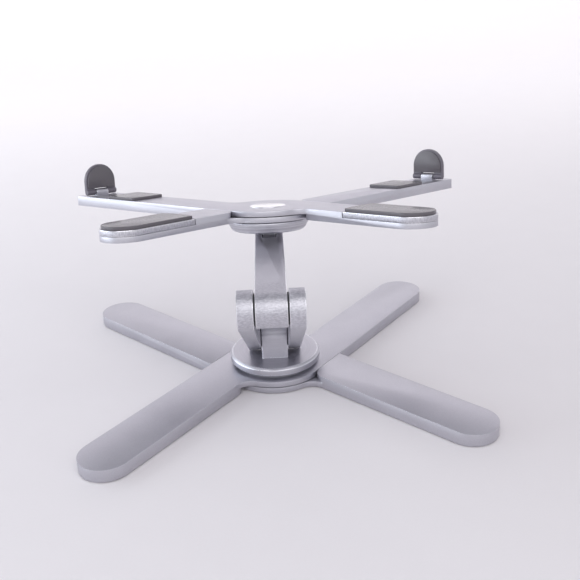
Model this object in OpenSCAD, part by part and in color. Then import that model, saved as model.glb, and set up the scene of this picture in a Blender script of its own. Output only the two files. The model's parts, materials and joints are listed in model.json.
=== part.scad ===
// Folding tablet stand: a crossed-bar foot, a two-link arm with friction hinges,
// and a crossed-bar head with swing-out front pads and flip-up hooks.
// Millimetres, +Z up. The origin is on the ground, on the axis of the foot's hub.
// All hinges of the arm lie along X, turned by arm_turn, and the elbow points to -Y.
// A crossed-bar unit is two S-shaped bars, lapped at a hub. Each bar's rear arm
// points to +Y and its front arm to -Y, and each arm stands beside the hub's axis,
// so that the folded bars lie side by side.

/* [Foot] */
// Length of each foot bar, tip to tip
foot_length = 245; // [200:1:300]
// Width of a foot bar
foot_w = 25; // [20:0.5:30]
// Thickness of a foot bar
foot_t = 6; // [5:0.1:9]
// Angle between the two rear arms of the open foot
foot_open = 82; // [60:1:88]
// Turn of the foot about the hub, away from square with the arm
foot_turn = 5.5; // [-20:0.5:20]
// Fillet where the lap disc meets an arm of the foot
foot_fillet = 8; // [5:0.5:10]
// Height of the rubber feet below the bars
foot_pad_h = 0.6; // [0.4:0.1:1.5]
// Length of each rubber foot
foot_pad_len = 56; // [30:1:70]

/* [Swivel] */
// Radius of the swivel disc
swivel_r = 22.9; // [18:0.1:24]
// Thickness of the swivel disc
swivel_t = 4.6; // [3.5:0.1:7]
// Thickness of the thrust washer under the swivel disc
swivel_gap = 1.6; // [1:0.1:3]
// Width of the swivel disc's knuckle
knuckle_w = 12.9; // [10:0.1:13.1]
// Length of the knuckle, front to back
knuckle_len = 22; // [17:0.5:28]
// Radius of the foot's pivot bolt
foot_bolt_r = 4; // [3:0.1:5]

/* [Arm] */
// Distance between the hinge axes of the lower arm
lower_len = 118; // [100:0.5:150]
// Distance between the hinge axes of the upper arm
upper_len = 74.8; // [64:0.1:120]
// Turn of the swivel and the arm about the hub
arm_turn = 0.9; // [-180:0.1:180]
// Angle of the lower arm above level
lower_angle = 30.8; // [10:0.1:60]
// Angle between the two arms
elbow_open = 28.9; // [14:0.1:90]
// Half depth of the lower arm, and radius of its ends
lower_r = 7.8; // [7:0.1:10]
// Half depth of the upper arm, and radius of its ends
upper_r = 7.3; // [6:0.1:9]
// Thickness of each side bar of the lower arm
side_t = 6.4; // [5:0.1:8]
// Clear width between the two side bars
side_gap = 13.7; // [13.7:0.1:20]
// Width of the upper arm
upper_w = 12.5; // [11:0.1:13.1]
// Radius of the two lower hinge bolts
hinge_r = 3; // [2:0.1:4]
// Radius of the head's hinge bolt
head_hinge_r = 2.5; // [1.5:0.1:3]
// Width of the slot in the upper arm's fork
fork_slot = 6.4; // [5:0.1:8]
// Depth of the slot, measured from the hinge axis
fork_depth = 9.5; // [8:0.1:14]

/* [Head] */
// Tilt of the head about X: a negative value lowers the hook side
head_tilt = -11; // [-30:0.5:-8]
// Turn of the head about its own axis
head_turn = 0.8; // [-20:0.1:20]
// Radius of the head plate at its top
plate_r = 18.7; // [15:0.1:20]
// Radius of the head plate at its bottom
plate_low_r = 16.8; // [13:0.1:18]
// Thickness of the head plate
plate_t = 4.9; // [3.5:0.1:6]
// Width of a head bar
head_w = 20.5; // [18:0.5:26]
// Thickness of a head bar
head_t = 4.9; // [4.8:0.1:7]
// Angle between the two rear arms of the open head
head_open = 86; // [60:1:88]
// Reach of the front arms from the hub's axis
front_reach = 84.5; // [74:0.5:110]
// Reach of the rear arms from the hub's axis
rear_reach = 126.5; // [110:0.5:160]
// Fillet where the lap disc meets an arm of the head
head_fillet = 6.5; // [5:0.5:9]
// Radius of the head's pivot screw
head_bolt_r = 3.5; // [2.5:0.1:4]
// Radius of the polished cap on the head's pivot
cap_r = 8.1; // [7:0.1:12]

/* [Extensions and pads] */
// Length of a swing-out extension, tip to inner end
ext_len = 41; // [34:0.5:52]
// Radius of the extension's pivot rivet
rivet_r = 3; // [2:0.1:4]
// Thickness of the silicone pads
pad_t = 1.5; // [1:0.1:2.5]
// Step from the edge of a bar to the edge of its pad
pad_inset = 0.8; // [0.4:0.1:1.5]
// Length of a rear pad
rear_pad_len = 22; // [15:0.5:26]
// Distance from the hook's hinge to the outer end of the rear pad
rear_pad_gap = 20; // [18:0.5:26]

/* [Hooks] */
// Width of a hook
hook_w = 18; // [16:0.1:22]
// Height of a hook above the bar
hook_h = 16.4; // [14:0.1:20]
// Thickness of a hook's plate
hook_t = 2; // [1.5:0.1:3]
// Thickness of the silicone face on a hook
hook_face_t = 0.9; // [0.5:0.1:1.2]
// Distance from the end of the bar to the hook's hinge
hook_inset = 8; // [5:0.5:14]
// Height of the hook's hinge above the bar
hook_axis_h = 1.9; // [1.9:0.1:3]
// Width of the notch in a hook
notch_w = 8; // [7:0.1:12]
// Height of the notch above the hinge
notch_h = 2; // [2:0.1:4]
// Radius of the hook's hinge pin
hook_pin_r = 0.8; // [0.6:0.05:1]

/* [Fits] */
// Gap between the arms of a folded pair of bars
fold_gap = 0.3; // [0.2:0.05:0.6]
// Gap at the stop of an open pair of bars
stop_gap = 0.2; // [0.1:0.05:0.5]
// Gap between the two lapped discs
lap_gap = 0.4; // [0.3:0.05:0.8]
// Radial clearance of a turning pin
run_fit = 0.05; // [0.02:0.01:0.1]
// Radial clearance of a pin that is fixed
set_fit = 0.02; // [0.01:0.01:0.05]
// Gap between faces that slide past each other
face_gap = 0.05; // [0.03:0.01:0.1]

/* [Hidden] */
$fn = 96;

// Colours
silver = [0.72, 0.72, 0.76];
steel = [0.80, 0.80, 0.82];
polish = [0.88, 0.88, 0.90];
silicone = [0.36, 0.35, 0.38];
hook_grey = [0.30, 0.29, 0.32];
rubber = [0.15, 0.15, 0.16];
nylon = [0.90, 0.89, 0.85];

// An overshoot that lets a cut pass right through a face
eps = 1;

// Washers and recesses
lap_washer_t = 0.3;
lap_washer_r = 12;
bolt_head_t = 0.8;
bolt_head_r = 10;
spring_t = 0.7;
recess_gap = 0.4;
hub_foot_r = 15;
thrust_inset = 2.9;
hinge_head_t = 2.4;
hinge_head_gap = 0.2;
hinge_head_over = 2.4;
hex_r = 1.8;
hex_depth = 1.4;
cap_t = 1;
cap_proud = 0.3;
rivet_head_over = 2;
rivet_head_t = 1;
foot_pad_side = 4;
foot_pad_sink = 0.5;
pad_corner_r = 1.5;
bar_corner_r = 1.2;
corner_slack = 0.8;
corner_over = 0.01;
hinge_block_sink = 1;

// Heights of the foot's stack, from the ground up
foot_z = foot_pad_h;
foot_top = foot_z + foot_t;
foot_mid = foot_z + foot_t / 2;
swivel_z = foot_top + swivel_gap;
swivel_top = swivel_z + swivel_t;
arm_over_disc = 0.6;
base_axis_z = swivel_top + arm_over_disc + lower_r;
knuckle_top = base_axis_z + upper_r;
knuckle_corner_r = 5;

// Heights of the head's stack, from the tilt axis up
arm_under_plate = 0.9;
plate_z = upper_r + arm_under_plate;
plate_top = plate_z + plate_t;
head_washer_t = 0.5;
head_z = plate_top + head_washer_t + face_gap;
head_top = head_z + head_t;
head_mid = head_z + head_t / 2;
head_lap_washer_t = 0.25;
ext_z = head_mid + face_gap;

// Distances along the head's arms
ext_pivot = front_reach - head_w / 2;
ext_arc_r = ext_len - head_w / 2;
ext_step_gap = 0.35;
hook_at = rear_reach - hook_inset;
hook_axis_z = head_top + hook_axis_h;
hook_lug_r = hook_axis_h - 0.4;
hook_knuckle_r = hook_axis_h - 0.2;
hook_side_gap = 0.4;

// Half gap beside the hub's axis, and lap disc radius, of a bar of width w
half_gap = fold_gap / 2;
function lap_r(w) = w + half_gap;
function arm_mid(w) = w / 2 + half_gap;

// ---------- Frames ----------

// hand is +1 for the bar whose rear arm points back-left, -1 for back-right
module bar_frame(hand, open, turn) {
    rotate([0, 0, 90 + turn + hand * open / 2])
        mirror([0, hand > 0 ? 0 : 1, 0])
            children();
}

// x runs outward along the front arm, y = 0 is the arm's centre line
module front_arm(w) {
    rotate([0, 0, 180])
        translate([0, arm_mid(w), 0])
            children();
}

// x runs outward along the rear arm, y = 0 is the arm's centre line
module rear_arm(w) {
    translate([0, arm_mid(w), 0])
        children();
}

module lower_arm_frame() {
    translate([0, 0, base_axis_z])
        rotate([0, 0, arm_turn])
            rotate([-lower_angle, 0, 0])
                children();
}

module elbow_frame() {
    lower_arm_frame()
        translate([0, -lower_len, 0])
            rotate([elbow_open, 0, 0])
                children();
}

module head_frame() {
    elbow_frame()
        translate([0, upper_len, 0])
            rotate([head_tilt + lower_angle - elbow_open, 0, 0])
                children();
}

module foot_bar_frame(hand) {
    bar_frame(hand, foot_open, foot_turn) children();
}

module head_bar_frame(hand) {
    head_frame()
        bar_frame(hand, head_open, head_turn)
            children();
}

// ---------- Shared shapes ----------

// A rectangle with rounded corners, from x0 to x1 and of width w
module rounded_plan(x0, x1, w, r) {
    translate([x0 + r, -w / 2])
        square([x1 - x0 - 2 * r, w]);
    translate([x0, -w / 2 + r])
        square([x1 - x0, w - 2 * r]);
    for (x = [x0 + r, x1 - r], y = [-w / 2 + r, w / 2 - r])
        translate([x, y])
            circle(r);
}

// An arm with a round end, from the hub to its reach
module round_arm_plan(reach, w) {
    translate([0, -w / 2])
        square([reach - w / 2, w]);
    translate([reach - w / 2, 0])
        circle(w / 2);
}

// An arm with a square end whose corners are slightly rounded
module square_arm_plan(reach, w) {
    r = bar_corner_r;
    translate([0, -w / 2])
        square([reach - r, w]);
    translate([reach - 2 * r, -w / 2 + r])
        square([2 * r, w - 2 * r]);
    for (y = [-w / 2 + r, w / 2 - r])
        translate([reach - r, y])
            circle(r);
}

// Fillet of radius rf between the lap disc and the inner edge of a rear arm
module lap_fillet_plan(w, rf) {
    xf = sqrt(pow(lap_r(w) + rf, 2) - pow(rf - half_gap, 2));
    difference() {
        polygon([[0, 0], [0, half_gap], [xf, half_gap], [xf, half_gap - rf]]);
        translate([xf, half_gap - rf])
            circle(rf);
    }
}

// What is cut off a rear arm beside the other bar's lap disc. The cut is
// tangent to the disc, stop_gap away from the other bar's edge when the pair is open.
// Its corner circle is corner_over too large, so that it crosses the straight edges.
module stop_cut_plan(w, open, rf) {
    lean = 90 - open;
    reach = lap_r(w) + stop_gap;
    rc = rf - corner_slack;
    yc = half_gap + rc;
    xc = (reach + rc - yc * sin(lean)) / cos(lean);
    rotate([0, 0, lean])
        translate([0, -2 * w])
            square([reach, 4 * w]);
    difference() {
        polygon([
            [0, half_gap - eps],
            [xc, half_gap - eps],
            [xc, yc],
            [xc - rc * cos(lean), yc - rc * sin(lean)]
        ]);
        translate([xc, yc])
            circle(rc + corner_over);
    }
}

// The lap disc with both arms, one layer thick
module disc_layer_plan(w, rf) {
    circle(lap_r(w));
    for (turn = [0, 180])
        rotate([0, 0, turn])
            lap_fillet_plan(w, rf);
    children();
}

// The parts of both arms that have the bar's full thickness
module full_layer_plan(w, open, rf) {
    difference() {
        children();
        for (turn = [0, 180])
            rotate([0, 0, turn])
                stop_cut_plan(w, open, rf);
    }
}

// One S-shaped bar: its plan's arms are the children
module lapped_bar(w, t, open, rf, disc_on_top) {
    layer = (t - lap_gap) / 2;
    translate([0, 0, disc_on_top ? t - layer : 0])
        linear_extrude(layer)
            disc_layer_plan(w, rf)
                children();
    linear_extrude(t)
        full_layer_plan(w, open, rf)
            children();
}

// A flat ring between two heights
module ring(ro, ri, z0, z1) {
    translate([0, 0, z0])
        rotate_extrude()
            translate([ri, 0])
                square([ro - ri, z1 - z0]);
}

// A round rod along X
module x_rod(r, x0, x1) {
    translate([x0, 0, 0])
        rotate([0, 90, 0])
            cylinder(r = r, h = x1 - x0);
}

// A ring around X
module x_ring(ro, ri, x0, x1) {
    rotate([0, 90, 0])
        ring(ro, ri, x0, x1);
}

// A side view in Y and Z, given thickness along X
module x_extrude(x0, x1) {
    translate([x0, 0, 0])
        rotate([90, 0, 90])
            linear_extrude(x1 - x0)
                children();
}

// A stadium from (0, 0) to (len, 0)
module link_profile(len, r) {
    circle(r);
    translate([min(0, len), -r])
        square([abs(len), 2 * r]);
    translate([len, 0])
        circle(r);
}

// A hinge bolt with a socket head at +X and a plain shank that ends at -X
module socket_bolt(r, half_len, head_t) {
    difference() {
        union() {
            x_rod(r, -half_len + head_t / 2, half_len - head_t);
            x_rod(r + hinge_head_over - hinge_head_gap, half_len - head_t, half_len - hinge_head_gap);
        }
        translate([half_len - hinge_head_gap - hex_depth, 0, 0])
            rotate([0, 90, 0])
                cylinder(r = hex_r, h = hex_depth + eps, $fn = 6);
    }
}

// The round nut at the other end of a hinge bolt
module round_nut(r, half_len, head_t) {
    difference() {
        x_rod(r + hinge_head_over - hinge_head_gap, -half_len + hinge_head_gap, -half_len + head_t);
        x_rod(r + set_fit, -half_len + head_t / 2 - face_gap, -half_len + head_t + eps);
    }
}

// ---------- Foot ----------

module foot_arms() {
    rear_arm(foot_w)
        round_arm_plan(foot_length / 2, foot_w);
    front_arm(foot_w)
        round_arm_plan(foot_length / 2, foot_w);
}

// The two rubber feet of a bar; grow is the clearance of the recess
module foot_pads_of_bar(z0, z1, grow) {
    width = foot_w - 2 * foot_pad_side;
    far = foot_length / 2 - foot_pad_side;
    translate([0, 0, z0])
        linear_extrude(z1 - z0)
            for (turn = [0, 180])
                rotate([0, 0, turn])
                    rear_arm(foot_w)
                        foot_pad_plan(far - foot_pad_len, far, width, grow);
}

module foot_pad_plan(x0, x1, w, grow) {
    r = w / 2 + grow;
    translate([x0 + w / 2, -r])
        square([x1 - x0 - w, 2 * r]);
    for (x = [x0 + w / 2, x1 - w / 2])
        translate([x, 0])
            circle(r);
}

module foot_bar(hand, disc_on_top) {
    foot_bar_frame(hand)
        difference() {
            translate([0, 0, foot_z])
                lapped_bar(foot_w, foot_t, foot_open, foot_fillet, disc_on_top)
                    foot_arms();
            foot_pads_of_bar(foot_z - eps, foot_z + foot_pad_sink, face_gap);
            cylinder(r = foot_bolt_r + run_fit, h = foot_top + eps);
        }
}

module base_bar_lower() {
    recess_top = foot_z + bolt_head_t + spring_t + 2 * face_gap;
    color(silver)
        difference() {
            foot_bar(1, false);
            translate([0, 0, foot_z - eps])
                cylinder(r = bolt_head_r + recess_gap, h = recess_top - foot_z + eps);
        }
}

module base_bar_upper() {
    color(silver)
        foot_bar(-1, true);
}

module base_feet_lower() {
    color(rubber)
        foot_bar_frame(1)
            foot_pads_of_bar(0, foot_z + foot_pad_sink, 0);
}

module base_feet_upper() {
    color(rubber)
        foot_bar_frame(-1)
            foot_pads_of_bar(0, foot_z + foot_pad_sink, 0);
}

module base_hub_foot() {
    color(rubber)
        cylinder(r = hub_foot_r, h = foot_z);
}

module base_lap_washer() {
    z0 = foot_mid - lap_gap / 2;
    color(nylon)
        ring(lap_washer_r, foot_bolt_r + run_fit, z0, z0 + lap_washer_t);
}

module base_pivot_bolt() {
    z0 = foot_z + face_gap;
    color(steel) {
        translate([0, 0, z0])
            cylinder(r = bolt_head_r, h = bolt_head_t);
        translate([0, 0, z0])
            cylinder(r = foot_bolt_r, h = swivel_top - eps - z0);
    }
}

module base_spring_washer() {
    z0 = foot_z + face_gap + bolt_head_t;
    color(steel)
        ring(bolt_head_r - 1, foot_bolt_r + set_fit, z0, z0 + spring_t);
}

module base_thrust_washer() {
    color(nylon)
        ring(swivel_r - thrust_inset, foot_bolt_r + set_fit, foot_top + face_gap, swivel_z);
}

// ---------- Swivel disc ----------

module swivel_disc_profile() {
    low = 0.8;
    high = 1.1;
    polygon([
        [0, swivel_z],
        [swivel_r - low, swivel_z],
        [swivel_r, swivel_z + low],
        [swivel_r, swivel_top - high],
        [swivel_r - high, swivel_top],
        [0, swivel_top]
    ]);
}

module knuckle_profile() {
    half = knuckle_len / 2;
    r = knuckle_corner_r;
    translate([-half, swivel_top - eps])
        square([2 * half, knuckle_top - r - swivel_top + eps]);
    translate([-half + r, knuckle_top - r - eps])
        square([2 * (half - r), r + eps]);
    for (y = [-half + r, half - r])
        translate([y, knuckle_top - r])
            circle(r);
}

module swivel_disc() {
    color(silver)
        difference() {
            union() {
                rotate_extrude()
                    swivel_disc_profile();
                rotate([0, 0, arm_turn])
                    x_extrude(-knuckle_w / 2, knuckle_w / 2)
                        knuckle_profile();
            }
            translate([0, 0, swivel_z - eps])
                cylinder(r = foot_bolt_r + set_fit, h = swivel_t + face_gap);
            lower_arm_frame()
                x_rod(hinge_r + run_fit, -knuckle_w, knuckle_w);
        }
}

// ---------- Arm ----------

arm_half = side_gap / 2 + side_t;

// One side bar of the lower arm, at side +1 (right) or -1 (left)
module lower_side_bar(side) {
    x0 = side > 0 ? side_gap / 2 : -arm_half;
    outer = side * arm_half;
    lower_arm_frame()
        difference() {
            x_extrude(x0, x0 + side_t)
                link_profile(-lower_len, lower_r);
            for (y = [0, -lower_len])
                translate([0, y, 0]) {
                    x_rod(hinge_r + set_fit, x0 - eps, x0 + side_t + eps);
                    x_rod(
                        hinge_r + hinge_head_over,
                        min(outer - side * hinge_head_t, outer + side * eps),
                        max(outer - side * hinge_head_t, outer + side * eps)
                    );
                }
        }
}

// A pair of thin washers that fill the gaps beside a knuckle of width w
module washer_pair(w, gap, ro, ri) {
    for (side = [-1, 1]) {
        near = w / 2 + 0.02;
        far = gap / 2 - 0.02;
        x_ring(ro, ri, side > 0 ? near : -far, side > 0 ? far : -near);
    }
}

module lower_arm_left() {
    color(silver)
        lower_side_bar(-1);
}

module lower_arm_right() {
    color(silver)
        lower_side_bar(1);
}

module base_hinge_bolt() {
    color(steel)
        lower_arm_frame()
            socket_bolt(hinge_r, arm_half, hinge_head_t);
}

module base_hinge_nut() {
    color(steel)
        lower_arm_frame()
            round_nut(hinge_r, arm_half, hinge_head_t);
}

module base_hinge_washers() {
    color(nylon)
        lower_arm_frame()
            washer_pair(knuckle_w, side_gap, upper_r - 1, hinge_r + set_fit);
}

module elbow_bolt() {
    color(steel)
        elbow_frame()
            socket_bolt(hinge_r, arm_half, hinge_head_t);
}

module elbow_nut() {
    color(steel)
        elbow_frame()
            round_nut(hinge_r, arm_half, hinge_head_t);
}

module elbow_washers() {
    color(nylon)
        elbow_frame()
            washer_pair(upper_w, side_gap, upper_r - 1, hinge_r + set_fit);
}

fork_head_t = 1.6;

module upper_arm() {
    color(silver)
        elbow_frame()
            difference() {
                x_extrude(-upper_w / 2, upper_w / 2)
                    link_profile(upper_len, upper_r);
                x_rod(hinge_r + run_fit, -upper_w, upper_w);
                translate([0, upper_len, 0]) {
                    x_rod(head_hinge_r + set_fit, -upper_w, upper_w);
                    for (side = [-1, 1])
                        x_rod(
                            head_hinge_r + hinge_head_over,
                            side > 0 ? upper_w / 2 - fork_head_t : -upper_w / 2 - eps,
                            side > 0 ? upper_w / 2 + eps : -upper_w / 2 + fork_head_t
                        );
                    translate([-fork_slot / 2, -fork_depth, -upper_r - eps])
                        cube([fork_slot, fork_depth + upper_r + eps, 2 * (upper_r + eps)]);
                }
            }
}

// ---------- Head plate and its hinge ----------

tongue_gap = 0.25;
tongue_w = fork_slot - 2 * tongue_gap;
tongue_r = upper_r - 1.2;

module head_hinge_bolt() {
    color(steel)
        head_frame()
            socket_bolt(head_hinge_r, upper_w / 2, fork_head_t);
}

module head_hinge_nut() {
    color(steel)
        head_frame()
            round_nut(head_hinge_r, upper_w / 2, fork_head_t);
}

module head_hinge_washers() {
    color(nylon)
        head_frame()
            washer_pair(tongue_w, fork_slot, tongue_r - 0.5, head_hinge_r + set_fit);
}

module plate_profile() {
    edge = 0.7;
    rim = 0.8;
    polygon([
        [0, plate_z],
        [plate_low_r - edge, plate_z],
        [plate_low_r, plate_z + edge / 2],
        [plate_r, plate_top - rim],
        [plate_r, plate_top],
        [0, plate_top]
    ]);
}

module tongue_profile() {
    circle(tongue_r);
    translate([-tongue_r, 0])
        square([2 * tongue_r, plate_z + eps]);
}

module head_plate() {
    color(silver)
        head_frame()
            difference() {
                union() {
                    rotate_extrude()
                        plate_profile();
                    x_extrude(-tongue_w / 2, tongue_w / 2)
                        tongue_profile();
                }
                x_rod(head_hinge_r + run_fit, -tongue_w, tongue_w);
                translate([0, 0, plate_top - plate_t + eps])
                    cylinder(r = head_bolt_r + set_fit, h = plate_t);
            }
}

module head_thrust_washer() {
    color(nylon)
        head_frame()
            ring(plate_low_r, head_bolt_r + set_fit, plate_top, plate_top + head_washer_t);
}

// ---------- Head bars ----------

module head_arms() {
    rear_arm(head_w)
        square_arm_plan(rear_reach, head_w);
    front_arm(head_w)
        round_arm_plan(front_reach, head_w);
}

// Seats for the extension, its rivet and the hook's hinge block
module head_bar_seats() {
    front_arm(head_w)
        translate([ext_pivot, 0, 0]) {
            translate([0, 0, head_mid - face_gap])
                cylinder(r = ext_arc_r + ext_step_gap, h = head_t);
            translate([0, 0, head_z - eps])
                cylinder(r = rivet_r + set_fit, h = head_t);
            translate([0, 0, head_z - eps])
                cylinder(r = rivet_r + rivet_head_over + set_fit, h = eps + rivet_head_t + face_gap);
        }
    rear_arm(head_w)
        translate([hook_at, 0, head_top - hinge_block_sink])
            translate([-hook_knuckle_r - set_fit, -notch_w / 2 + hook_side_gap - set_fit, 0])
                cube([
                    2 * (hook_knuckle_r + set_fit),
                    notch_w - 2 * (hook_side_gap - set_fit),
                    hinge_block_sink + eps
                ]);
}

module head_bar(hand, disc_on_top) {
    head_bar_frame(hand)
        difference() {
            translate([0, 0, head_z])
                lapped_bar(head_w, head_t, head_open, head_fillet, disc_on_top)
                    head_arms();
            head_bar_seats();
            translate([0, 0, head_z - eps])
                cylinder(r = head_bolt_r + run_fit, h = head_t + 2 * eps);
        }
}

module head_bar_lower() {
    color(silver)
        head_bar(-1, false);
}

module head_bar_upper() {
    color(silver)
        difference() {
            head_bar(1, true);
            head_frame()
                translate([0, 0, head_top - cap_t + cap_proud - face_gap])
                    cylinder(r = cap_r + run_fit, h = cap_t);
        }
}

module head_lap_washer() {
    z0 = head_mid - lap_gap / 2;
    color(nylon)
        head_frame()
            ring(lap_washer_r, head_bolt_r + run_fit, z0, z0 + head_lap_washer_t);
}

module head_pivot_screw() {
    cap_low = head_top - cap_t + cap_proud;
    color(steel)
        head_frame()
            translate([0, 0, plate_z + eps + face_gap])
                cylinder(r = head_bolt_r, h = cap_low - plate_z - eps - face_gap);
}

module head_cap() {
    bevel = 0.25;
    z1 = head_top + cap_proud;
    z0 = z1 - cap_t;
    color(polish)
        head_frame()
            rotate_extrude()
                polygon([[0, z0], [cap_r, z0], [cap_r, z1 - bevel], [cap_r - bevel, z1], [0, z1]]);
}

// ---------- Swing-out extensions ----------

// Plan of an extension about its pivot, shrunk by inset all round
module ext_plan(inset) {
    circle(head_w / 2 - inset);
    intersection() {
        circle(ext_arc_r - inset);
        translate([-ext_arc_r, -head_w / 2 + inset])
            square([ext_arc_r, head_w - 2 * inset]);
    }
}

module at_ext_pivot(hand) {
    head_bar_frame(hand)
        front_arm(head_w)
            translate([ext_pivot, 0, 0])
                children();
}

module extension(hand) {
    color(silver)
        at_ext_pivot(hand)
            difference() {
                translate([0, 0, ext_z])
                    linear_extrude(head_top - ext_z)
                        ext_plan(0);
                translate([0, 0, ext_z - eps])
                    cylinder(r = rivet_r + run_fit, h = head_t);
                translate([0, 0, head_top - rivet_head_t - face_gap])
                    cylinder(r = rivet_r + rivet_head_over + run_fit, h = head_t);
            }
}

module extension_rivet(hand) {
    wide = rivet_r + rivet_head_over;
    color(steel)
        at_ext_pivot(hand) {
            translate([0, 0, head_z + face_gap])
                cylinder(r = rivet_r, h = head_t - 2 * face_gap);
            translate([0, 0, head_z + face_gap])
                cylinder(r = wide, h = rivet_head_t);
            translate([0, 0, head_top - rivet_head_t])
                cylinder(r = wide, h = rivet_head_t - face_gap);
        }
}

module front_pad(hand) {
    color(silicone)
        at_ext_pivot(hand)
            translate([0, 0, head_top])
                linear_extrude(pad_t)
                    ext_plan(pad_inset);
}

module rear_pad(hand) {
    x1 = hook_at - rear_pad_gap;
    color(silicone)
        head_bar_frame(hand)
            rear_arm(head_w)
                translate([0, 0, head_top])
                    linear_extrude(pad_t)
                        rounded_plan(x1 - rear_pad_len, x1, head_w - 2 * pad_inset, pad_corner_r);
}

module extension_left() {
    extension(-1);
}

module extension_right() {
    extension(1);
}

module extension_rivet_left() {
    extension_rivet(-1);
}

module extension_rivet_right() {
    extension_rivet(1);
}

module front_pad_left() {
    front_pad(-1);
}

module front_pad_right() {
    front_pad(1);
}

module rear_pad_left() {
    rear_pad(1);
}

module rear_pad_right() {
    rear_pad(-1);
}

// ---------- Flip-up hooks ----------

// The frame of a hook's hinge: x points outward, y along the pin
module hook_frame(hand) {
    head_bar_frame(hand)
        rear_arm(head_w)
            translate([hook_at, 0, hook_axis_z])
                children();
}

// A plan in Y and Z, given thickness along x of the hook's frame
module hook_extrude(x0, x1) {
    translate([x0, 0, 0])
        rotate([90, 0, 90])
            linear_extrude(x1 - x0)
                children();
}

// A round-topped outline from height z0 up to z1
module tombstone(w, z0, z1) {
    shoulder = z1 - w / 2;
    translate([-w / 2, z0])
        square([w, shoulder - z0]);
    intersection() {
        translate([0, shoulder])
            circle(w / 2);
        translate([-w / 2, shoulder])
            square([w, w / 2 + eps]);
    }
}

// A round rod along y of the hook's frame
module y_rod(r, y0, y1) {
    translate([0, y1, 0])
        rotate([90, 0, 0])
            cylinder(r = r, h = y1 - y0);
}

hook_tip = hook_h - hook_axis_h;
hook_back = hook_lug_r;
hook_front = hook_back - hook_t;

module hook(hand) {
    color(hook_grey)
        hook_frame(hand)
            difference() {
                union() {
                    hook_extrude(hook_front, hook_back)
                        tombstone(hook_w, 0, hook_tip);
                    y_rod(hook_lug_r, -hook_w / 2, hook_w / 2);
                }
                translate([-5, -notch_w / 2, -5])
                    cube([10, notch_w, 5 + notch_h]);
                y_rod(hook_pin_r + set_fit, -hook_w / 2 + 1, hook_w / 2 - 1);
            }
}

module hook_face(hand) {
    color(silicone)
        hook_frame(hand)
            hook_extrude(hook_front - hook_face_t, hook_front)
                tombstone(hook_w - 2 * pad_inset, notch_h + 0.3, hook_tip - pad_inset);
}

module hook_hinge(hand) {
    half = notch_w / 2 - hook_side_gap;
    color(silver)
        hook_frame(hand)
            difference() {
                union() {
                    y_rod(hook_knuckle_r, -half, half);
                    translate([-hook_knuckle_r, -half, -hook_axis_h - hinge_block_sink])
                        cube([2 * hook_knuckle_r, 2 * half, hook_axis_h + hinge_block_sink]);
                }
                y_rod(hook_pin_r + run_fit, -half - eps, half + eps);
            }
}

module hook_pin(hand) {
    color(steel)
        hook_frame(hand)
            y_rod(hook_pin_r, -hook_w / 2 + 1.1, hook_w / 2 - 1.1);
}

module hook_left() {
    hook(1);
}

module hook_right() {
    hook(-1);
}

module hook_face_left() {
    hook_face(1);
}

module hook_face_right() {
    hook_face(-1);
}

module hook_hinge_left() {
    hook_hinge(1);
}

module hook_hinge_right() {
    hook_hinge(-1);
}

module hook_pin_left() {
    hook_pin(1);
}

module hook_pin_right() {
    hook_pin(-1);
}

// ---------- Nodes ----------

base_bar_lower();
base_bar_upper();
base_feet_lower();
base_feet_upper();
base_hub_foot();
base_lap_washer();
base_pivot_bolt();
base_spring_washer();
base_thrust_washer();
swivel_disc();
base_hinge_bolt();
base_hinge_nut();
base_hinge_washers();
lower_arm_left();
lower_arm_right();
elbow_bolt();
elbow_nut();
elbow_washers();
upper_arm();
head_hinge_bolt();
head_hinge_nut();
head_hinge_washers();
head_plate();
head_thrust_washer();
head_bar_lower();
head_bar_upper();
head_lap_washer();
head_pivot_screw();
head_cap();
extension_left();
extension_right();
extension_rivet_left();
extension_rivet_right();
front_pad_left();
front_pad_right();
rear_pad_left();
rear_pad_right();
hook_left();
hook_right();
hook_face_left();
hook_face_right();
hook_hinge_left();
hook_hinge_right();
hook_pin_left();
hook_pin_right();
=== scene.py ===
"""A folding tablet stand of satin aluminium: its finishes, broken edges, soft pads and studio."""

import json
import logging
import math
from dataclasses import dataclass, field, replace
from enum import Enum

import bpy
from mathutils import Matrix, Vector


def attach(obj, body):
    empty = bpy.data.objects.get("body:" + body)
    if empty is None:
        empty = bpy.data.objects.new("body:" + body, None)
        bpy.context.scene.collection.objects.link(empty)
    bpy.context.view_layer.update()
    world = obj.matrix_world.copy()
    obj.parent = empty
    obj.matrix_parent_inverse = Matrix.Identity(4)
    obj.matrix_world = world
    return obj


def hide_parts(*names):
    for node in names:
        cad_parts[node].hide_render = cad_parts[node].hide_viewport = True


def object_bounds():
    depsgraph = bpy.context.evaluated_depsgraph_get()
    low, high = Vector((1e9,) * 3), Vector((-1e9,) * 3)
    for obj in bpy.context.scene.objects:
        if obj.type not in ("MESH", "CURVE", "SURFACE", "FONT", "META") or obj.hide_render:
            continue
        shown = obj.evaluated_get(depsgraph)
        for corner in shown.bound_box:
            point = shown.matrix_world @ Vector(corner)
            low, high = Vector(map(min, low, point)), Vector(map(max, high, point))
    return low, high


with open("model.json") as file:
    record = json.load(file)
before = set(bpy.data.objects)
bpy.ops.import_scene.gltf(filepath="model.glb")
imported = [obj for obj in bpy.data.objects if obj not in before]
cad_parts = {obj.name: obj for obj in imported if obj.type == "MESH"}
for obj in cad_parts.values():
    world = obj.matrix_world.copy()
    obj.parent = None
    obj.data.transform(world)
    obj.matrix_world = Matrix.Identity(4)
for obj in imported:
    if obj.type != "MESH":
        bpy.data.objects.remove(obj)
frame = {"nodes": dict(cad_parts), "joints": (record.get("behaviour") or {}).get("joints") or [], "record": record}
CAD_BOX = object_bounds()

LOG = logging.getLogger("tablet_stand")
MM = 0.001
MERGE_DISTANCE = 0.0005 * MM
FLAT_ANGLE = math.radians(0.4)
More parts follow.
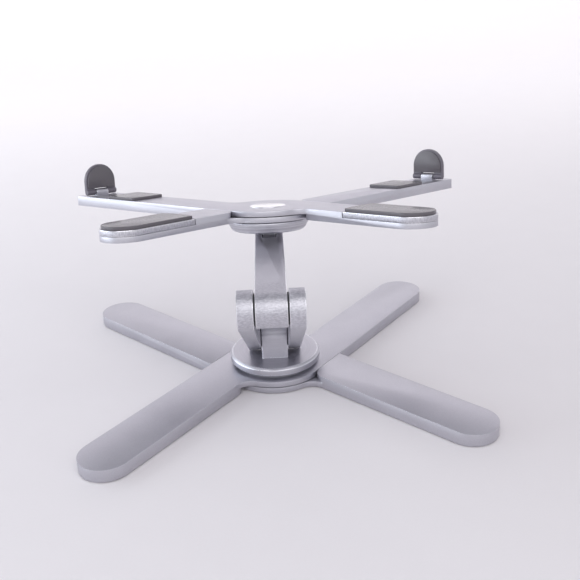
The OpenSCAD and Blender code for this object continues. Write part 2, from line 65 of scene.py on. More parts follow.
SMOOTH_ANGLE = math.radians(28.0)

# The grain of bead blasting: noise scales in cells to the metre, and what each noise adds to the tone.
GRAIN_SCALE = 3200.0
GRAIN_DETAIL = 2.0
GRAIN_ROUGHNESS = 0.6
GRAIN_SHARE = 0.8
CLOUD_SCALE = 45.0
CLOUD_DETAIL = 3.0
CLOUD_EDGES = (0.3, 0.7)
CLOUD_SHARE = 0.2

# The lines of a lathe and of a belt. The squeeze stretches a belt's strokes along the axis.
LINE_SCALE = 2100.0
LINE_DETAIL = 3.0
HOOP_ROUGHNESS = 0.7
STROKE_ROUGHNESS = 0.65
STROKE_SQUEEZE = (1.0, 1.0, 0.40)

# The patches of handling.
PATCH_SCALE = 160.0
PATCH_DETAIL = 5.0
PATCH_ROUGHNESS = 0.65
PATCH_EDGES = (0.42, 0.68)


# ---------------------------------------------------------------- reading the frame


def joint_place(name: str) -> tuple[Vector, Vector]:
    """Finds where a joint of the stand sits.

    Args:
        name: The joint's name in the record.

    Returns:
        A point on the joint's axis in metres, and the axis as a unit vector.
    """
    joint = next(j for j in frame["joints"] if j["name"] == name)
    return Vector(joint["pos_m"]), Vector(joint["axis"]).normalized()


def body_of_node(node: str) -> str:
    """Finds the body that a CAD node belongs to.

    Args:
        node: The node's name.

    Returns:
        The name of its body.
    """
    bodies = frame["record"]["behaviour"]["bodies"]
    return next(body for body, nodes in bodies.items() if node in nodes)


# ---------------------------------------------------------------- shader effects


class Wiring:
    """Adds and joins the nodes of one node tree."""

    def __init__(self, tree: bpy.types.NodeTree) -> None:
        """Keeps the tree that is wired.

        Args:
            tree: The node tree of a material or a group.
        """
        self.tree = tree

    def add(self, kind: str, **settings: object) -> bpy.types.Node:
        """Adds a node.

        Args:
            kind: The node's Blender type name.
            **settings: Properties of the node, by name.

        Returns:
            The new node.
        """
        node = self.tree.nodes.new(kind)
        for name, value in settings.items():
            setattr(node, name, value)
        return node

    def join(self, source: bpy.types.NodeSocket, target: bpy.types.NodeSocket) -> None:
        """Joins an output to an input.

        Args:
            source: The output.
            target: The input.
        """
        self.tree.links.new(source, target)

    def maths(self, operation: str, first: object, second: object = None) -> bpy.types.NodeSocket:
        """Adds a Math node.

        Args:
            operation: The operation's Blender name.
            first: A socket or a number.
            second: A socket or a number, or None where the operation takes one value.

        Returns:
            The node's output.
        """
        node = self.add("ShaderNodeMath", operation=operation)
        for index, value in enumerate((first, second)):
            if isinstance(value, bpy.types.NodeSocket):
                self.join(value, node.inputs[index])
            elif value is not None:
                node.inputs[index].default_value = value
        return node.outputs[0]

    def blend(
        self, share: bpy.types.NodeSocket, first: bpy.types.NodeSocket, second: bpy.types.NodeSocket
    ) -> bpy.types.NodeSocket:
        """Mixes two numbers.

        Args:
            share: How much of the second is taken, from 0 to 1.
            first: The number at a share of 0.
            second: The number at a share of 1.

        Returns:
            The mixed number.
        """
        node = self.add("ShaderNodeMix", data_type="FLOAT")
        for name, socket in (("Factor", share), ("A", first), ("B", second)):
            self.join(socket, node.inputs[name])
        return node.outputs["Result"]

    def ramp(self, value: bpy.types.NodeSocket, low: float, high: float) -> bpy.types.NodeSocket:
        """Spreads the stretch from low to high smoothly over 0 to 1.

        Args:
            value: The value that is spread.
            low: The value that becomes 0.
            high: The value that becomes 1.

        Returns:
            The spread value.
        """
        node = self.add("ShaderNodeMapRange", interpolation_type="SMOOTHSTEP")
        self.join(value, node.inputs["Value"])
        node.inputs["From Min"].default_value = low
        node.inputs["From Max"].default_value = high
        return node.outputs["Result"]


def new_group(name: str, inputs: dict[str, float], outputs: list[str]) -> tuple[Wiring, object, object]:
    """Starts a shader node group that takes a point and some numbers.

    Args:
        name: The group's name.
        inputs: Each number that it takes, with its usual value.
        outputs: Each number that it gives.

    Returns:
        The group's wiring, its input node and its output node.
    """
    tree = bpy.data.node_groups.new(name, "ShaderNodeTree")
    tree.interface.new_socket("Point", in_out="INPUT", socket_type="NodeSocketVector")
    for label, value in inputs.items():
        socket = tree.interface.new_socket(label, in_out="INPUT", socket_type="NodeSocketFloat")
        socket.default_value = value
    for label in outputs:
        tree.interface.new_socket(label, in_out="OUTPUT", socket_type="NodeSocketFloat")
    wiring = Wiring(tree)
    return wiring, wiring.add("NodeGroupInput"), wiring.add("NodeGroupOutput")


def blast_group() -> bpy.types.NodeTree:
    """Builds the fine grain that bead blasting leaves, with faint broad clouds.

    Returns:
        The group, which gives a Height and a Tone.
    """
    scales = {"Grain": GRAIN_SCALE, "Cloud": CLOUD_SCALE}
    wiring, given, result = new_group("bead_blast", scales, ["Height", "Tone"])
    grain = wiring.add("ShaderNodeTexNoise", noise_dimensions="3D")
    grain.inputs["Detail"].default_value = GRAIN_DETAIL
    grain.inputs["Roughness"].default_value = GRAIN_ROUGHNESS
    cloud = wiring.add("ShaderNodeTexNoise", noise_dimensions="3D")
    cloud.inputs["Detail"].default_value = CLOUD_DETAIL
    for node, scale in ((grain, "Grain"), (cloud, "Cloud")):
        wiring.join(given.outputs["Point"], node.inputs["Vector"])
        wiring.join(given.outputs[scale], node.inputs["Scale"])
    wiring.join(grain.outputs["Fac"], result.inputs["Height"])
    fine = wiring.maths("MULTIPLY", grain.outputs["Fac"], GRAIN_SHARE)
    broad = wiring.maths("MULTIPLY", wiring.ramp(cloud.outputs["Fac"], *CLOUD_EDGES), CLOUD_SHARE)
    wiring.join(wiring.maths("ADD", fine, broad), result.inputs["Tone"])
    return wiring.tree


def turned_group() -> bpy.types.NodeTree:
    """Builds the lines of a lathe, which run round the axis Z, and those of a belt, which run along it.

    Returns:
        The group, which gives the Hoops, the lines Along, and the Reach from the axis in metres.
    """
    wiring, given, result = new_group("turned_lines", {"Lines": LINE_SCALE}, ["Hoops", "Along", "Reach"])
    split = wiring.add("ShaderNodeSeparateXYZ")
    wiring.join(given.outputs["Point"], split.inputs[0])
    squares = [wiring.maths("MULTIPLY", split.outputs[i], split.outputs[i]) for i in (0, 1)]
    reach = wiring.maths("SQRT", wiring.maths("ADD", *squares))
    plane = wiring.add("ShaderNodeCombineXYZ")
    wiring.join(reach, plane.inputs["X"])
    wiring.join(split.outputs["Z"], plane.inputs["Y"])
    lines = wiring.add("ShaderNodeTexNoise", noise_dimensions="2D")
    lines.inputs["Detail"].default_value = LINE_DETAIL
    lines.inputs["Roughness"].default_value = HOOP_ROUGHNESS
    wiring.join(plane.outputs[0], lines.inputs["Vector"])
    wiring.join(given.outputs["Lines"], lines.inputs["Scale"])
    wiring.join(lines.outputs["Fac"], result.inputs["Hoops"])
    squeeze = wiring.add("ShaderNodeVectorMath", operation="MULTIPLY")
    squeeze.inputs[1].default_value = STROKE_SQUEEZE
    wiring.join(given.outputs["Point"], squeeze.inputs[0])
    strokes = wiring.add("ShaderNodeTexNoise", noise_dimensions="3D")
    strokes.inputs["Detail"].default_value = LINE_DETAIL
    strokes.inputs["Roughness"].default_value = STROKE_ROUGHNESS
    wiring.join(squeeze.outputs["Vector"], strokes.inputs["Vector"])
    wiring.join(given.outputs["Lines"], strokes.inputs["Scale"])
    wiring.join(strokes.outputs["Fac"], result.inputs["Along"])
    wiring.join(reach, result.inputs["Reach"])
    return wiring.tree


def wear_group() -> bpy.types.NodeTree:
    """Builds the broken, patchy mask of handling and wear.

    Returns:
        The group, which gives a Mask from 0, untouched, to 1, rubbed.
    """
    wiring, given, result = new_group("handling_wear", {"Patch": PATCH_SCALE, "Amount": 0.5}, ["Mask"])
    patch = wiring.add("ShaderNodeTexNoise", noise_dimensions="3D")
    patch.inputs["Detail"].default_value = PATCH_DETAIL
    patch.inputs["Roughness"].default_value = PATCH_ROUGHNESS
    wiring.join(given.outputs["Point"], patch.inputs["Vector"])
    wiring.join(given.outputs["Patch"], patch.inputs["Scale"])
    mask = wiring.ramp(patch.outputs["Fac"], *PATCH_EDGES)
    wiring.join(wiring.maths("MULTIPLY", mask, given.outputs["Amount"]), result.inputs["Mask"])
    return wiring.tree


class Effect(Enum):
    """The shader effects that the finishes share."""

    BLAST = "bead_blast"
    TURNED = "turned_lines"
    WEAR = "handling_wear"

    def group(self) -> bpy.types.NodeTree:
        """Finds the effect's node group, which is built the first time.

        Returns:
            The node group.
        """
        makers = {Effect.BLAST: blast_group, Effect.TURNED: turned_group, Effect.WEAR: wear_group}
        return bpy.data.node_groups.get(self.value) or makers[self]()


# ---------------------------------------------------------------- finishes


@dataclass(frozen=True)
class TurnedEnd:
    """Where the lathe's or the mill's lines show on a satin part.

    Attributes:
        centre: A point on the turning axis, in metres.
        axis: The turning axis.
        full: How far from the axis the lines are at full strength, in metres.
        gone: How far from the axis they have faded away, in metres.
        hoops: True for a lathe's lines round the axis, False for a belt's lines along it.
    """

    centre: Vector
    axis: Vector
    full: float
    gone: float
    hoops: bool = True


@dataclass(frozen=True)
class Finish:
    """A surface finish: two close tones, a roughness that varies, and a fine relief.

    Attributes:
        name: The finish's name.
        dark: The darker tone, linear.
        light: The lighter tone, linear.
        metallic: 1 for bare metal, 0 otherwise.
        roughness: The smoothest and the roughest value.
        grain: Grains to the metre.
        relief: The relief's depth in metres.
        wear: How much handling changes the roughness.
        sheen: The weight of the velvety sheen that soft rubber has.
        ends: Where lathe lines show.
        line_depth: How deep the lathe lines are, as a share of the relief.
        streak: The heights between which a line goes from the darker to the lighter tone.
    """

    name: str
    dark: tuple[float, float, float]
    light: tuple[float, float, float]
    metallic: float
    roughness: tuple[float, float]
    grain: float
    relief: float
    wear: float = 0.3
    sheen: float = 0.0
    ends: tuple[TurnedEnd, ...] = ()
    line_depth: float = 8.0
    streak: tuple[float, float] = (0.36, 0.64)

    def material(self) -> bpy.types.Material:
        """Builds the finish's material, or finds it if it has been built.

        Returns:
            The material.
        """
        built = bpy.data.materials.get(self.name)
        if built is not None:
            return built
        material = bpy.data.materials.new(self.name)
        material.use_nodes = True
        material.node_tree.nodes.clear()
        wiring = Wiring(material.node_tree)
        shader = wiring.add("ShaderNodeBsdfPrincipled")
        output = wiring.add("ShaderNodeOutputMaterial")
        wiring.join(shader.outputs[0], output.inputs["Surface"])
        shader.inputs["Metallic"].default_value = self.metallic
        shader.inputs["Sheen Weight"].default_value = self.sheen
        place = wiring.add("ShaderNodeTexCoord").outputs["Object"]
        blast = self._group(wiring, Effect.BLAST, place, Grain=self.grain)
        wear = self._group(wiring, Effect.WEAR, place, Amount=self.wear)
        height, tone = blast.outputs["Height"], blast.outputs["Tone"]
        for end in self.ends:
            height, tone = self._add_lines(wiring, place, end, height, tone)
        self._colour(wiring, tone, wear.outputs["Mask"], shader)
        self._relief(wiring, height, shader)
        return material

    def _group(
        self, wiring: Wiring, effect: Effect, place: bpy.types.NodeSocket, **numbers: float
    ) -> bpy.types.Node:
        """Places a shared effect in the material.

        Args:
            wiring: The material's wiring.
            effect: The effect.
            place: The point that it reads.
            **numbers: The effect's values, by name.

        Returns:
            The group node.
        """
        node = wiring.add("ShaderNodeGroup", node_tree=effect.group())
        wiring.join(place, node.inputs["Point"])
        for name, value in numbers.items():
            node.inputs[name].default_value = value
        return node

    def _add_lines(
        self,
        wiring: Wiring,
        place: bpy.types.NodeSocket,
        end: TurnedEnd,
        height: bpy.types.NodeSocket,
        tone: bpy.types.NodeSocket,
    ) -> tuple[bpy.types.NodeSocket, bpy.types.NodeSocket]:
        """Lays lathe or belt lines over the grain near one axis.

        Args:
            wiring: The material's wiring.
            place: Object coordinates.
            end: Where the lines show.
            height: The relief so far.
            tone: The tone so far.

        Returns:
            The relief and the tone with the lines.
        """
        turn = end.axis.to_track_quat("Z", "Y").to_matrix().inverted()
        mapping = wiring.add("ShaderNodeMapping", vector_type="POINT")
        mapping.inputs["Rotation"].default_value = turn.to_euler()
        mapping.inputs["Location"].default_value = -(turn @ end.centre)
        wiring.join(place, mapping.inputs["Vector"])
        lines = self._group(wiring, Effect.TURNED, mapping.outputs["Vector"])
        near = wiring.ramp(lines.outputs["Reach"], end.gone, end.full)
        line = lines.outputs["Hoops" if end.hoops else "Along"]
        deep = wiring.maths("MULTIPLY", line, self.line_depth)
        streak = wiring.ramp(line, *self.streak)
        return wiring.blend(near, height, deep), wiring.blend(near, tone, streak)

    def _colour(
        self, wiring: Wiring, tone: bpy.types.NodeSocket, wear: bpy.types.NodeSocket, shader: bpy.types.Node
    ) -> None:
        """Feeds the shader's colour from the tone, and its roughness from the wear.

        Args:
            wiring: The material's wiring.
            tone: Which of the two tones shows.
            wear: The wear mask.
            shader: The material's shader.
        """
        blend = wiring.add("ShaderNodeMix", data_type="RGBA")
        wiring.join(tone, blend.inputs["Factor"])
        blend.inputs["A"].default_value = (*self.dark, 1.0)
        blend.inputs["B"].default_value = (*self.light, 1.0)
        wiring.join(blend.outputs["Result"], shader.inputs["Base Color"])
        smooth, rough = self.roughness
        spread = wiring.add("ShaderNodeMapRange")
        mixed = wiring.maths("SUBTRACT", tone, wear)
        wiring.join(mixed, spread.inputs["Value"])
        spread.inputs["To Min"].default_value = smooth
        spread.inputs["To Max"].default_value = rough
        wiring.join(spread.outputs["Result"], shader.inputs["Roughness"])

    def _relief(self, wiring: Wiring, height: bpy.types.NodeSocket, shader: bpy.types.Node) -> None:
        """Feeds the shader's normal from the relief.

        Args:
            wiring: The material's wiring.
            height: The relief, in shares of its full depth.
            shader: The material's shader.
        """
        bump = wiring.add("ShaderNodeBump")
        bump.inputs["Distance"].default_value = self.relief
        bump.inputs["Strength"].default_value = 1.0
        wiring.join(height, bump.inputs["Height"])
        wiring.join(bump.outputs["Normal"], shader.inputs["Normal"])


SATIN_DARK = (0.47, 0.465, 0.510)
SATIN_LIGHT = (0.625, 0.620, 0.665)
SATIN_ROUGH = (0.36, 0.48)
SATIN_GRAIN = 2200.0
SATIN_RELIEF = 0.024 * MM
SATIN_WEAR = 0.25
FAINT_DEPTH = 2.0
FAINT_STREAK = (-0.4, 1.4)


def faint(finish: Finish) -> Finish:
    """Makes a finish's lathe lines faint.

    Args:
        finish: A finish with lathe lines.

    Returns:
        The same finish with faint lines.
    """
    return replace(finish, line_depth=FAINT_DEPTH, streak=FAINT_STREAK)


def satin(name: str, ends: tuple[TurnedEnd, ...] = ()) -> Finish:
    """Names a bead-blasted, anodised finish.

    Args:
        name: The finish's name.
        ends: Where lathe lines show through.

    Returns:
        The finish.
    """
    return Finish(
        name,
        dark=SATIN_DARK,
        light=SATIN_LIGHT,
        metallic=1.0,
        roughness=SATIN_ROUGH,
        grain=SATIN_GRAIN,
        relief=SATIN_RELIEF,
        wear=SATIN_WEAR,
        ends=ends,
    )


CUT_EDGE = Finish(
    "cut_edge",
    dark=(0.78, 0.78, 0.82),
    light=(0.92, 0.92, 0.95),
    metallic=1.0,
    roughness=(0.18, 0.28),
    grain=2600.0,
    relief=0.004 * MM,
    wear=0.2,
)
TURNED_EDGE = Finish(
    "turned_edge",
    dark=(0.62, 0.62, 0.67),
    light=(0.76, 0.76, 0.80),
    metallic=1.0,
    roughness=(0.24, 0.34),
    grain=2400.0,
    relief=0.008 * MM,
    wear=0.2,
)
PLATED_STEEL = Finish(
    "plated_steel",
    dark=(0.50, 0.50, 0.52),
    light=(0.66, 0.66, 0.68),
    metallic=1.0,
    roughness=(0.20, 0.34),
    grain=2400.0,
    relief=0.006 * MM,
    wear=0.4,
)
SILICONE = Finish(
    "moulded_silicone",
    dark=(0.098, 0.090, 0.102),
    light=(0.128, 0.118, 0.132),
    metallic=0.0,
    roughness=(0.20, 0.30),
    grain=2600.0,
    relief=0.010 * MM,
    wear=0.25,
)
HOOK_PLASTIC = Finish(
    "moulded_hook",
    dark=(0.120, 0.109, 0.134),
    light=(0.146, 0.134, 0.162),
    metallic=0.0,
    roughness=(0.30, 0.42),
    grain=2200.0,
    relief=0.012 * MM,
    wear=0.2,
)
FOOT_RUBBER = Finish(
    "foot_rubber",
    dark=(0.018, 0.018, 0.019),
    light=(0.032, 0.031, 0.033),
    metallic=0.0,
    roughness=(0.62, 0.78),
    grain=2000.0,
    relief=0.03 * MM,
    wear=0.3,
    sheen=0.1,
)
GREY_WASHER = Finish(
    "grey_washer",
    dark=(0.30, 0.30, 0.33),
    light=(0.38, 0.38, 0.41),
    metallic=0.0,
    roughness=(0.35, 0.5),
    grain=1800.0,
    relief=0.01 * MM,
    wear=0.2,
)
NYLON = Finish(
    "washer_nylon",
    dark=(0.035, 0.035, 0.038),
    light=(0.055, 0.055, 0.060),
    metallic=0.0,
    roughness=(0.40, 0.55),
    grain=1800.0,
    relief=0.01 * MM,
    wear=0.2,
)
BACKDROP_PAPER = Finish(
    "backdrop_paper",
    dark=(0.80, 0.775, 0.79),
    light=(0.83, 0.805, 0.82),
    metallic=0.0,
    roughness=(0.75, 0.9),
    grain=900.0,
    relief=0.02 * MM,
    wear=0.1,
)


# ---------------------------------------------------------------- modelling


def select_only(*objects: bpy.types.Object) -> None:
    """Selects these objects and nothing else, and makes the first one active."""
    bpy.ops.object.select_all(action="DESELECT")
    for item in objects:
        item.select_set(True)
    bpy.context.view_layer.objects.active = objects[0]


@dataclass(frozen=True)
class Edge:
    """How the sharp edges of a piece are broken.

    Attributes:
        width: The width of the broken edge, in metres.
        segments: Its facets: 1 is a chamfer, more is a round.
        least: Edges that turn less than this angle, in degrees, stay.
    """

    width: float
    segments: int = 2
    least: float = 32.0


def merged_copy(node: str) -> bpy.types.Object:
    """Copies a CAD node and makes one clean skin of its loose triangles.

    Args:
        node: The node's name.

    Returns:
        The new piece, with its flat faces whole.
    """
    source = frame["nodes"][node]
    piece = bpy.data.objects.new(f"{node}_finished", source.data.copy())
    bpy.context.scene.collection.objects.link(piece)
    piece.data.materials.clear()
    select_only(piece)
    bpy.ops.object.mode_set(mode="EDIT")
    bpy.ops.mesh.select_all(action="SELECT")
    bpy.ops.mesh.remove_doubles(threshold=MERGE_DISTANCE)
    bpy.ops.mesh.dissolve_limited(angle_limit=FLAT_ANGLE)
    bpy.ops.object.mode_set(mode="OBJECT")
    if "custom_normal" in piece.data.attributes:
        bpy.ops.mesh.customdata_custom_splitnormals_clear()
    return piece


def break_edges(piece: bpy.types.Object, edge: Edge, cut: bool) -> None:
    """Breaks a piece's sharp edges and smooths what is round.

    Args:
        piece: The piece.
        edge: How the edges are broken.
        cut: Whether the broken edge takes the piece's second material.
    """
    select_only(piece)
    bevel = piece.modifiers.new("broken_edges", "BEVEL")
    bevel.width = edge.width
    bevel.segments = edge.segments
    bevel.limit_method = "ANGLE"
    bevel.angle_limit = math.radians(edge.least)
    bevel.miter_outer = "MITER_ARC"
    bevel.use_clamp_overlap = True
    bevel.material = 1 if cut else -1
    bpy.ops.object.modifier_apply(modifier=bevel.name)
    bpy.ops.object.shade_smooth_by_angle(angle=SMOOTH_ANGLE)


def finish_node(node: str, edge: Edge, finish: Finish, cut: Finish | None = None) -> bpy.types.Object:
    """Makes the finished piece that stands for one CAD node.

    Args:
        node: The node's name.
        edge: How its edges are broken.
        finish: Its finish.
        cut: The finish of its broken edges, or None for the same.

    Returns:
        The finished piece, riding on its body.
    """
    piece = merged_copy(node)
    piece.data.materials.append(finish.material())
    if cut is not None:
        piece.data.materials.append(cut.material())
    break_edges(piece, edge, cut is not None)
    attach(piece, body_of_node(node))
    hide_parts(node)
    LOG.info("%s: %d faces", piece.name, len(piece.data.polygons))
    return piece


def dress_node(node: str, finish: Finish) -> None:
    """Gives a CAD node that stays as it is a better material.

    Args:
        node: The node's name.
        finish: Its finish.
    """
    piece = frame["nodes"][node]
    piece.data.materials.clear()
    piece.data.materials.append(finish.material())
    LOG.info("%s: kept from the CAD", node)


# ---------------------------------------------------------------- the stand


@dataclass
class Foot:
    """The crossed bars that the stand rests on, with their rubber feet."""

    bar_edge: Edge = Edge(0.35 * MM, 2)
    rubber_edge: Edge = Edge(0.12 * MM, 2)
    lines_full: float = 18 * MM
    lines_gone: float = 27 * MM
    bars: tuple[str, ...] = ("base_bar_lower", "base_bar_upper")
    rubbers: tuple[str, ...] = ("base_feet_lower", "base_feet_upper", "base_hub_foot")

    def build(self) -> None:
        """Builds the bars and the rubber feet."""
        end = TurnedEnd(*joint_place("foot_fold"), self.lines_full, self.lines_gone)
        for node in self.bars:
            finish_node(node, self.bar_edge, faint(satin("satin_foot_bar", (end,))), CUT_EDGE)
        for node in self.rubbers:
            finish_node(node, self.rubber_edge, FOOT_RUBBER)
        dress_node("base_lap_washer", NYLON)


@dataclass
class Swivel:
    """The disc and knuckle that turn on the foot, with the bolt below."""

    disc_edge: Edge = Edge(0.8 * MM, 4)
    lines_full: float = 30 * MM
    lines_gone: float = 40 * MM

    def build(self) -> None:
        """Builds the disc, its washers and its bolt."""
        end = TurnedEnd(*joint_place("swivel"), self.lines_full, self.lines_gone)
        finish_node("swivel_disc", self.disc_edge, faint(satin("satin_turned_disc", (end,))), TURNED_EDGE)
        dress_node("base_thrust_washer", GREY_WASHER)
        for node in ("base_pivot_bolt", "base_spring_washer"):
            dress_node(node, PLATED_STEEL)


@dataclass
class Arm:
    """The two side bars, the upper arm, and the bolts of their three hinges."""

    bar_edge: Edge = Edge(0.3 * MM, 2)
    bolt_edge: Edge = Edge(0.2 * MM, 2)
    lines_full: float = 9 * MM
    lines_gone: float = 15 * MM

    def build(self) -> None:
        """Builds the bars, bolts, nuts and washers."""
        ends = [
            TurnedEnd(*joint_place(name), self.lines_full, self.lines_gone, hoops=False)
            for name in ("base_hinge", "elbow", "head_tilt")
        ]
        side_finish = satin("satin_side_bar", (ends[0], ends[1]))
        arm_finish = satin("satin_upper_arm", (ends[1], ends[2]))
        for node in ("lower_arm_left", "lower_arm_right"):
            finish_node(node, self.bar_edge, side_finish, CUT_EDGE)
        finish_node("upper_arm", self.bar_edge, arm_finish, CUT_EDGE)
        for hinge in ("base_hinge", "elbow", "head_hinge"):
            for part in ("bolt", "nut"):
                finish_node(f"{hinge}_{part}", self.bolt_edge, PLATED_STEEL)
        for node in ("base_hinge_washers", "elbow_washers", "head_hinge_washers"):
            dress_node(node, NYLON)


@dataclass
class Head:
    """The plate, the crossed bars that hold the tablet, and the cap on their pivot."""

    bar_edge: Edge = Edge(0.3 * MM, 2)
    plate_edge: Edge = Edge(0.6 * MM, 3)
    cap_edge: Edge = Edge(0.1 * MM, 2)
    hub_lines_full: float = 16 * MM
    plate_lines_full: float = 24 * MM
    plate_lines_gone: float = 30 * MM

    def build(self) -> None:
        """Builds the plate, the bars, the cap and the pivot's hidden pieces."""
        centre, axis = joint_place("head_swivel")
        end = TurnedEnd(centre, axis, self.plate_lines_full, self.plate_lines_gone)
        hub = TurnedEnd(centre, axis, self.hub_lines_full, self.plate_lines_full)
        finish_node("head_plate", self.plate_edge, satin("satin_head_plate", (end,)), TURNED_EDGE)
        for node in ("head_bar_lower", "head_bar_upper"):
            finish_node(node, self.bar_edge, faint(satin("satin_head_bar", (hub,))), CUT_EDGE)
        finish_node("head_cap", self.cap_edge, self._spun_finish(centre, axis))
        dress_node("head_pivot_screw", PLATED_STEEL)
        for node in ("head_thrust_washer", "head_lap_washer"):
            dress_node(node, NYLON)

    def _spun_finish(self, centre: Vector, axis: Vector) -> Finish:
        """Names the polished finish of the cap, with its rings round the pivot.

        Args:
            centre: A point on the pivot's axis.
            axis: The pivot's axis.

        Returns:
            The finish.
        """
        rings = TurnedEnd(centre, axis, self.plate_lines_full, self.plate_lines_gone)
        return Finish(
            "spun_cap",
            dark=(0.86, 0.86, 0.89),
            light=(0.94, 0.94, 0.96),
            metallic=1.0,
            roughness=(0.12, 0.2),
            grain=2200.0,
            relief=0.003 * MM,
            wear=0.2,
            ends=(rings,),
        )


@dataclass
class Extensions:
    """The swing-out ends of the front arms, and the four silicone pads."""

    edge: Edge = Edge(0.25 * MM, 2)
    pad_edge: Edge = Edge(0.2 * MM, 3)
    lines_full: float = 40 * MM
    lines_gone: float = 60 * MM
    sides: tuple[str, ...] = ("left", "right")

    def build(self) -> None:
        """Builds both extensions, their rivets and all four pads."""
        for side in self.sides:
            swing = joint_place(f"extension_{side}_swing")
            end = TurnedEnd(*swing, self.lines_full, self.lines_gone, hoops=False)
            finish_node(f"extension_{side}", self.edge, satin(f"satin_extension_{side}", (end,)), CUT_EDGE)
            dress_node(f"extension_rivet_{side}", PLATED_STEEL)
            for row in ("front", "rear"):
                pad = finish_node(f"{row}_pad_{side}", self.pad_edge, SILICONE)


@dataclass
class Hooks:
    """The flip-up hooks that stop a tablet from sliding off."""

    plastic_edge: Edge = Edge(0.2 * MM, 3)
    face_edge: Edge = Edge(0.12 * MM, 2)
    block_edge: Edge = Edge(0.15 * MM, 2)
    sides: tuple[str, ...] = ("left", "right")

    def build(self) -> None:
        """Builds both hooks with their faces, hinge blocks and pins."""
        for side in self.sides:
            finish_node(f"hook_{side}", self.plastic_edge, HOOK_PLASTIC)
            finish_node(f"hook_face_{side}", self.face_edge, SILICONE)
            finish_node(f"hook_hinge_{side}", self.block_edge, satin("satin_hinge_block"), CUT_EDGE)
            dress_node(f"hook_pin_{side}", PLATED_STEEL)


# ---------------------------------------------------------------- the studio


@dataclass(frozen=True)
class SoftBox:
    """A soft area light.

    Attributes:
        name: The light's name.
        place: Where it stands, in metres.
        aim: What it points at, in metres.
        size: Its width and height, in metres.
        power: Its power in watts.
        colour: Its colour.
    """

    name: str
    place: tuple[float, float, float]
    aim: tuple[float, float, float]
    size: tuple[float, float]
    power: float
    colour: tuple[float, float, float] = (1.0, 1.0, 1.0)

    def build(self) -> None:
        """Adds the light to the scene."""
        data = bpy.data.lights.new(self.name, "AREA")
        data.shape = "RECTANGLE"
        data.size, data.size_y = self.size
        data.energy = self.power
        data.color = self.colour
        lamp = bpy.data.objects.new(self.name, data)
        bpy.context.scene.collection.objects.link(lamp)
        lamp.location = self.place
        lamp.rotation_euler = (Vector(self.aim) - lamp.location).to_track_quat("-Z", "Y").to_euler()


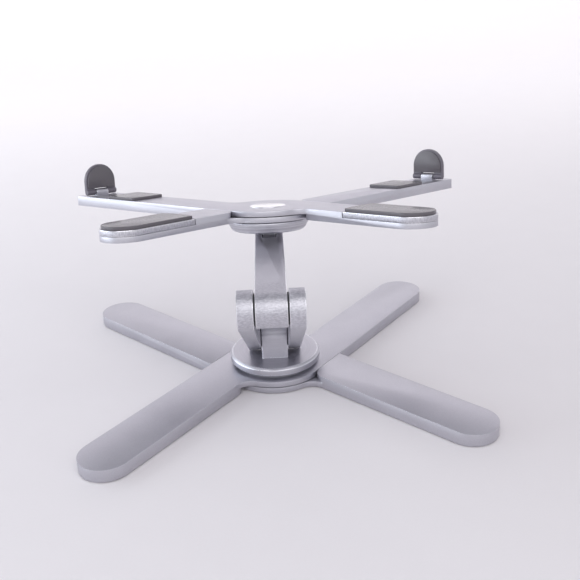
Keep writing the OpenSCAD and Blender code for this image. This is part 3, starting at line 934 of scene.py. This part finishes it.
@dataclass
class Studio:
    """A pale sweep, soft light from above and behind, and the camera."""

    floor_size: float = 5.0
    wall_height: float = 2.2
    wall_distance: float = 1.6
    sweep_radius: float = 0.7
    sweep_segments: int = 32
    camera_aim: tuple[float, float, float] = (8.96 * MM, 0.0, 45.0 * MM)
    camera_distance: float = 453.8 * MM
    camera_elevation: float = 23.6
    camera_roll: float = -2.3
    lens: float = 56.18
    clip_start: float = 0.01
    room_low: tuple[float, float, float] = (0.92, 0.92, 0.97)
    room_high: tuple[float, float, float] = (0.44, 0.44, 0.48)
    room_strength: float = 0.97
    room_edges: tuple[float, float] = (0.2, 0.7)
    soft_boxes: tuple[SoftBox, ...] = field(
        default=(
            SoftBox("key", (0.1, -1.0, 1.1), (0.0, 0.0, 0.0), (1.8, 1.0), 9.5, (1.0, 0.985, 0.98)),
            SoftBox("left", (-0.85, 0.05, 0.42), (-0.35, 0.0, 0.0), (0.9, 0.5), 2.0, (0.84, 0.92, 1.0)),
            SoftBox("low_left", (-1.1, -0.05, 0.17), (0.0, 0.0, 0.10), (1.6, 0.3), 3.0, (0.84, 0.93, 1.0)),
            SoftBox("wall", (0.1, 0.7, 0.9), (0.1, 1.6, 0.2), (2.8, 0.8), 10.5),
        )
    )

    def build(self) -> None:
        """Builds the sweep, the lights and the camera."""
        self._sweep()
        for box in self.soft_boxes:
            box.build()
        self._room()
        self._camera()
        bpy.context.scene.view_settings.view_transform = "Standard"

    def _sweep(self) -> None:
        """Models the floor and the wall behind it as one curved sheet."""
        bpy.ops.object.select_all(action="DESELECT")
        floor_z = CAD_BOX[0].z
        bpy.ops.mesh.primitive_plane_add(size=self.floor_size, location=(0.0, 0.0, floor_z))
        sweep = bpy.context.active_object
        sweep.name = "sweep"
        back = self.floor_size / 2
        bpy.ops.object.mode_set(mode="EDIT")
        bpy.ops.mesh.select_all(action="DESELECT")
        bpy.ops.mesh.select_mode(type="EDGE")
        bpy.ops.object.mode_set(mode="OBJECT")
        for edge in sweep.data.edges:
            ends = [sweep.data.vertices[i].co.y for i in edge.vertices]
            edge.select = all(abs(y - back) < 1e-6 for y in ends)
        bpy.ops.object.mode_set(mode="EDIT")
        bpy.ops.transform.translate(value=(0.0, self.wall_distance - back, 0.0))
        bpy.ops.mesh.extrude_region_move(TRANSFORM_OT_translate={"value": (0.0, 0.0, self.wall_height)})
        bpy.ops.object.mode_set(mode="OBJECT")
        bend = sweep.modifiers.new("bend", "BEVEL")
        bend.width = self.sweep_radius
        bend.segments = self.sweep_segments
        bend.limit_method = "ANGLE"
        bpy.ops.object.modifier_apply(modifier=bend.name)
        bpy.ops.object.shade_smooth()
        bpy.ops.object.transform_apply(location=True, rotation=True, scale=True)
        sweep.data.materials.append(BACKDROP_PAPER.material())

    def _room(self) -> None:
        """Sets the room's light, which is pale near the floor and dim above."""
        world = bpy.data.worlds.new("room")
        world.use_nodes = True
        wiring = Wiring(world.node_tree)
        background = world.node_tree.nodes["Background"]
        direction = wiring.add("ShaderNodeTexCoord").outputs["Generated"]
        split = wiring.add("ShaderNodeSeparateXYZ")
        wiring.join(direction, split.inputs[0])
        blend = wiring.add("ShaderNodeMix", data_type="RGBA")
        wiring.join(wiring.ramp(split.outputs["Z"], *self.room_edges), blend.inputs["Factor"])
        blend.inputs["A"].default_value = (*self.room_low, 1.0)
        blend.inputs["B"].default_value = (*self.room_high, 1.0)
        wiring.join(blend.outputs["Result"], background.inputs["Color"])
        background.inputs["Strength"].default_value = self.room_strength
        bpy.context.scene.world = world

    def _camera(self) -> None:
        """Sets the camera at its angle, distance and roll."""
        data = bpy.data.cameras.new("camera")
        data.lens = self.lens
        data.clip_start = self.clip_start
        camera = bpy.data.objects.new("camera", data)
        bpy.context.scene.collection.objects.link(camera)
        rise = math.radians(self.camera_elevation)
        back = Vector((0.0, -math.cos(rise), math.sin(rise)))
        place = Vector(self.camera_aim) + back * self.camera_distance
        look = (-back).to_track_quat("-Z", "Y").to_matrix()
        roll = Matrix.Rotation(math.radians(self.camera_roll), 3, "Z")
        camera.matrix_world = Matrix.Translation(place) @ (look @ roll).to_4x4()
        bpy.context.scene.camera = camera


def main() -> None:
    """Builds the stand from the ground up, then the studio."""
    logging.basicConfig(level=logging.INFO, format="%(name)s: %(message)s")
    for part in (Foot(), Swivel(), Arm(), Head(), Extensions(), Hooks()):
        LOG.info("building the %s", type(part).__name__.lower())
        part.build()
    Studio().build()


if __name__ == "__main__":
    main()
